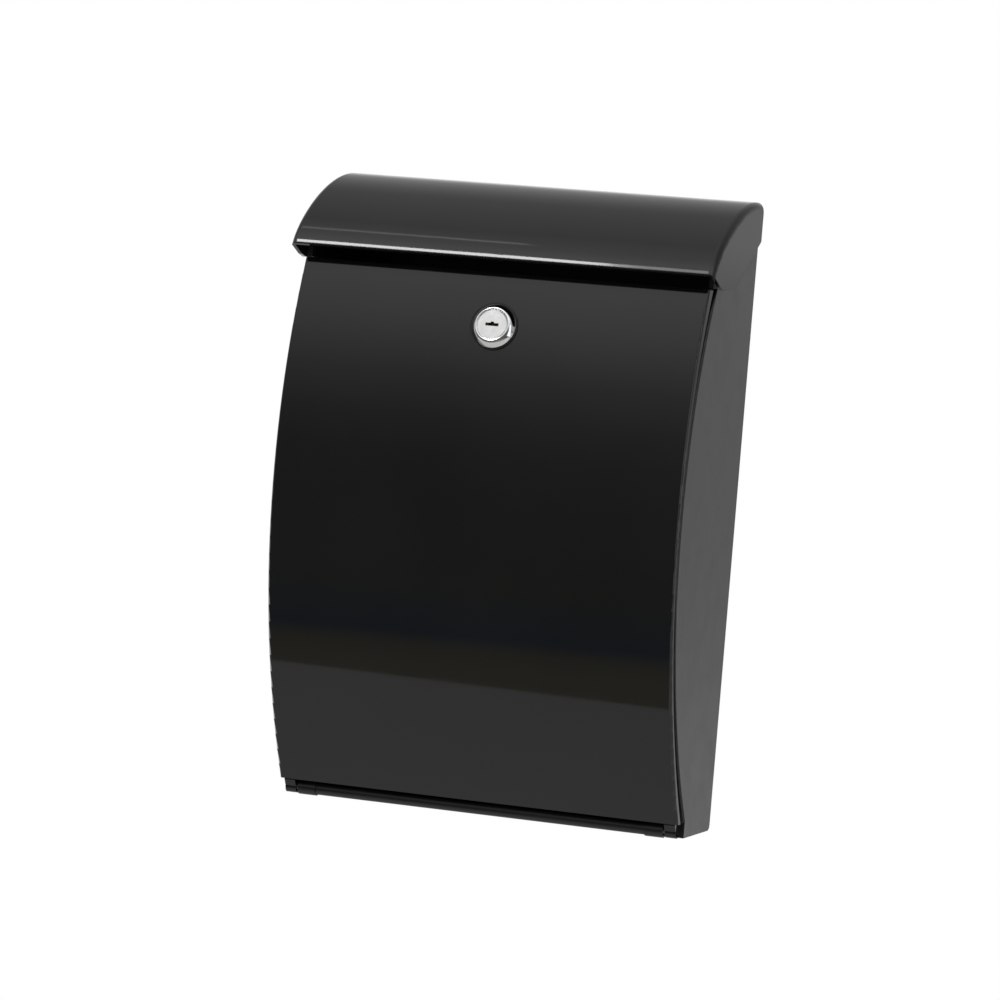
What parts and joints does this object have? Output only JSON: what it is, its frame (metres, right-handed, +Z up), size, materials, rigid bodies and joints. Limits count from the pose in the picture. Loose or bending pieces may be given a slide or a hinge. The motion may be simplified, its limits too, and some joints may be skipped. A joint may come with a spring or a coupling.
{
  "type": "wall mounted mailbox",
  "caption": "Wall mounted mailbox: open moulded housing, bowed front door hinged at the bottom, arched rain lid hinged at the top rear, and a cam lock.",
  "frame": {"origin": "centre of the four wall screw holes, on the wall plane at the back of the housing", "axes": "+Z up, -Y straight out from the wall, +X to the right of someone who faces the door"},
  "size_m": [0.292, 0.1323, 0.4203],
  "materials": {
    "housing_plastic": "satin black moulded plastic",
    "door_plastic": "semi-gloss black moulded plastic",
    "lid_plastic": "semi-gloss black moulded plastic",
    "pin_steel": "ground steel pin",
    "gasket_rubber": "black rubber seal",
    "lock_chrome": "polished chrome plate on zinc",
    "plug_chrome": "polished chrome plate on zinc",
    "wafer_brass": "stamped brass",
    "zinc_steel": "zinc plated steel"
  },
  "bodies": {
    "housing": {"rear_housing": "housing_plastic", "door_hinge_pin_left": "pin_steel", "door_hinge_pin_right": "pin_steel"},
    "lid": {"lid": "lid_plastic", "lid_pivot_pin_left": "pin_steel", "lid_pivot_pin_right": "pin_steel"},
    "door": {"front_door": "door_plastic", "lock_gasket": "gasket_rubber", "lock_barrel": "lock_chrome", "lock_nut": "zinc_steel"},
    "lock_core": {"lock_plug": "plug_chrome", "lock_wafers": "wafer_brass", "wafer_springs": "zinc_steel", "stop_washer": "zinc_steel", "lock_cam": "zinc_steel", "cam_lock_washer": "zinc_steel", "cam_screw": "zinc_steel"}
  },
  "joints": [
    {"name": "lid_hinge", "type": "hinge", "parent": "housing", "child": "lid", "pos_m": [0, -0.0162, 0.2028], "axis": [-1, 0, 0], "range_deg": [0, 80]},
    {"name": "door_hinge", "type": "hinge", "parent": "housing", "child": "door", "pos_m": [0, -0.066, -0.2056], "axis": [1, 0, 0], "range_deg": [0, 105]},
    {"name": "lock_turn", "type": "hinge", "parent": "door", "child": "lock_core", "pos_m": [0, -0.11635, 0.1144], "axis": [0, 0.9594, -0.2822], "range_deg": [0, 90]}
  ]
}
